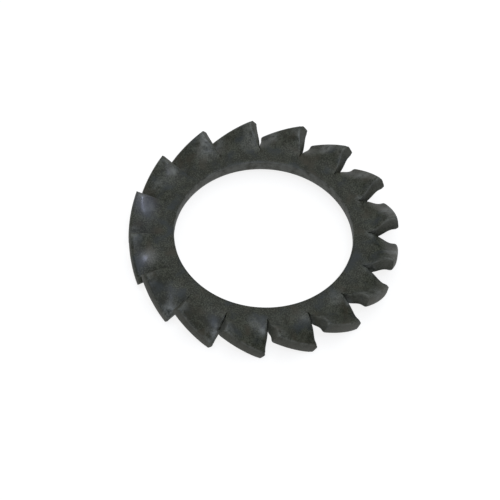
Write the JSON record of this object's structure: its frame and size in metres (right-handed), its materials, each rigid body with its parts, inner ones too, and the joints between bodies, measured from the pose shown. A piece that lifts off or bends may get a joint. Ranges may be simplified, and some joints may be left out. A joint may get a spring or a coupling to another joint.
{
  "type": "toothed lock washer",
  "caption": "Flat steel ring with a plain bore and a rim of sheared, twisted, overlapping teeth that bite into nut and work to stop loosening.",
  "frame": {"origin": "centre of the bore, halfway through the sheet", "axes": "+Z along the bore axis; +X along the middle line of one tooth"},
  "size_m": [0.02, 0.02, 0.0028],
  "materials": {
    "black_steel": "spring steel with a dark grey-green phosphate finish, mottled, with a dull oiled sheen and lighter edges"
  },
  "bodies": {
    "root": {"lock_washer": "black_steel"}
  },
  "joints": []
}
